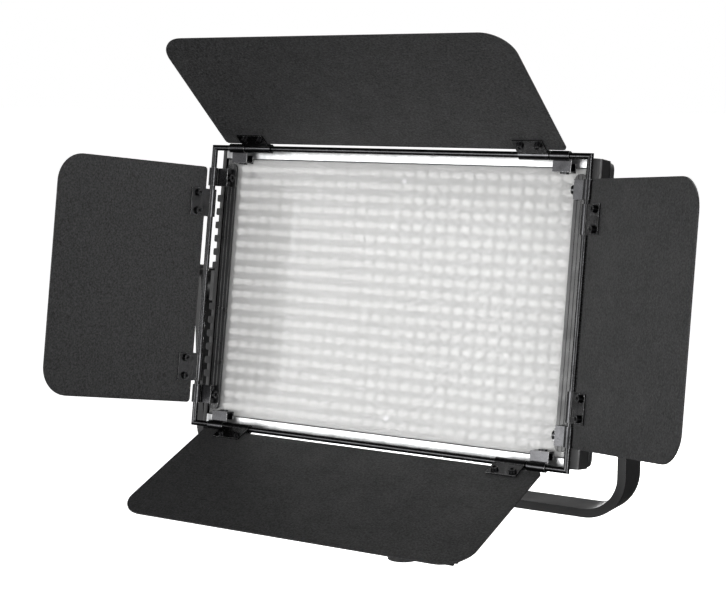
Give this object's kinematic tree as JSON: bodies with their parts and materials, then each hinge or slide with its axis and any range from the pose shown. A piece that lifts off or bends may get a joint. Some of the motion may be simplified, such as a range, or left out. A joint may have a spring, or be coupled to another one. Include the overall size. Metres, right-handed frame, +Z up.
{
  "type": "led panel light",
  "caption": "Rectangular panel of small lamps behind a frosted sheet, on a U-shaped yoke with tilt knobs, with four folding barn doors on a wire frame.",
  "frame": {"origin": "centre of the stand socket's mouth, at the bottom of the stand adapter", "axes": "+Z up out of the stand, along the socket's axis; the light faces -Y, tilted back 8.6 degrees at rest; +X is on the viewer's right from the front, along the tilt pivots"},
  "size_m": [0.4887, 0.2214, 0.3982],
  "materials": {
    "bracket": "black powder coat on steel",
    "fasteners": "machined steel",
    "black_screws": "black oxide steel",
    "washer": "hard black rubber",
    "knobs": "black moulded nylon",
    "shell": "black anodised, fine satin",
    "caps": "black moulded plastic, fine grain",
    "silver": "bright anodised extrusion",
    "rails": "black extruded plastic",
    "box_black": "flat black",
    "board_white": "white solder mask",
    "lamps": "clear epoxy",
    "diffuser": "frosted acrylic",
    "circuit": "green solder mask",
    "components": "small components",
    "brass": "plain brass",
    "panel": "dark satin plate",
    "window": "smoked window",
    "fittings": "black moulded plastic",
    "wire": "black plated steel wire",
    "clips": "black plated spring steel",
    "leaves": "black powder coat with a fine texture",
    "hinges": "black plated steel"
  },
  "bodies": {
    "yoke": {"yoke_bracket": "bracket", "stand_adapter": "bracket", "adapter_bolt": "fasteners", "adapter_washer": "fasteners", "pivot_washers": "washer"},
    "head": {"rear_shell": "shell", "left_end_cap": "caps", "right_end_cap": "caps", "top_profile": "silver", "bottom_profile": "silver", "left_rail": "rails", "right_rail": "rails", "light_box": "box_black", "led_board": "board_white", "led_lamps": "lamps", "diffuser_sheet": "diffuser", "driver_board": "circuit", "driver_parts": "components", "standoffs": "brass", "housing_screws": "fasteners", "pivot_bushes": "brass", "control_panel": "panel", "display_window": "window", "dc_inlet": "fittings", "switch_bezel": "fittings", "battery_plate_left": "fittings", "battery_plate_right": "fittings", "battery_contacts": "brass", "rod_frame": "wire", "clip_top_left": "clips", "clip_top_right": "clips", "clip_bottom_left": "clips", "clip_bottom_right": "clips", "clip_left_top": "clips", "clip_left_bottom": "clips", "clip_right_top": "clips", "clip_right_bottom": "clips", "clip_screws": "black_screws"},
    "top_door": {"door_top": "leaves", "hinges_top": "hinges", "hinge_screws_top": "black_screws"},
    "bottom_door": {"door_bottom": "leaves", "hinges_bottom": "hinges", "hinge_screws_bottom": "black_screws"},
    "left_door": {"door_left": "leaves", "hinges_left": "hinges", "hinge_screws_left": "black_screws"},
    "right_door": {"door_right": "leaves", "hinges_right": "hinges", "hinge_screws_right": "black_screws"},
    "left_tilt_lock": {"left_tilt_knob": "knobs", "left_tilt_screw": "fasteners"},
    "right_tilt_lock": {"right_tilt_knob": "knobs", "right_tilt_screw": "fasteners"},
    "stand_lock": {"stand_lock_knob": "knobs", "stand_lock_screw": "fasteners"},
    "rocker": {"power_rocker": "knobs"},
    "dial": {"brightness_knob": "knobs"},
    "left_latch": {"battery_latch_left": "fittings"},
    "right_latch": {"battery_latch_right": "fittings"}
  },
  "joints": [
    {"name": "head_tilt", "type": "hinge", "parent": "yoke", "child": "head", "pos_m": [0, 0, 0.202], "axis": [-1, 0, 0], "range_deg": [-25, 80]},
    {"name": "door_top_fold", "type": "hinge", "parent": "head", "child": "top_door", "pos_m": [0, -0.02127, 0.31546], "axis": [-1, 0, 0], "range_deg": [-110, 98]},
    {"name": "door_bottom_fold", "type": "hinge", "parent": "head", "child": "bottom_door", "pos_m": [0, -0.05387, 0.09991], "axis": [1, 0, 0], "range_deg": [-100, 74]},
    {"name": "door_left_fold", "type": "hinge", "parent": "head", "child": "left_door", "pos_m": [-0.1603, -0.03757, 0.20768], "axis": [0, -0.1495, -0.9888], "range_deg": [-103, 91]},
    {"name": "door_right_fold", "type": "hinge", "parent": "head", "child": "right_door", "pos_m": [0.1603, -0.03757, 0.20768], "axis": [0, 0.1495, 0.9888], "range_deg": [-140, 54]},
    {"name": "left_tilt_knob_turn", "type": "hinge", "parent": "yoke", "child": "left_tilt_lock", "pos_m": [-0.2, 0, 0.202], "axis": [-1, 0, 0], "range_deg": [0, 360]},
    {"name": "right_tilt_knob_turn", "type": "hinge", "parent": "yoke", "child": "right_tilt_lock", "pos_m": [0.2, 0, 0.202], "axis": [1, 0, 0], "range_deg": [-360, 0]},
    {"name": "stand_lock_turn", "type": "hinge", "parent": "yoke", "child": "stand_lock", "pos_m": [0.0365, 0, 0.0152], "axis": [1, 0, 0], "range_deg": [-360, 0]},
    {"name": "power_rocker_rock", "type": "hinge", "parent": "head", "child": "rocker", "pos_m": [-0.022, 0.017, 0.19134], "axis": [1, 0, 0], "range_deg": [-16, 0]},
    {"name": "brightness_turn", "type": "hinge", "parent": "head", "child": "dial", "pos_m": [0.024, 0.01878, 0.19107], "axis": [0, -0.9888, 0.1495], "range_deg": [0, 300]},
    {"name": "left_latch_press", "type": "slide", "parent": "head", "child": "left_latch", "axis": [0, -0.9888, 0.1495], "range_m": [0, 0.002], "stiffness_N_per_m": 600, "springref_m": -0.001},
    {"name": "right_latch_press", "type": "slide", "parent": "head", "child": "right_latch", "axis": [0, -0.9888, 0.1495], "range_m": [0, 0.002], "stiffness_N_per_m": 600, "springref_m": -0.001}
  ]
}
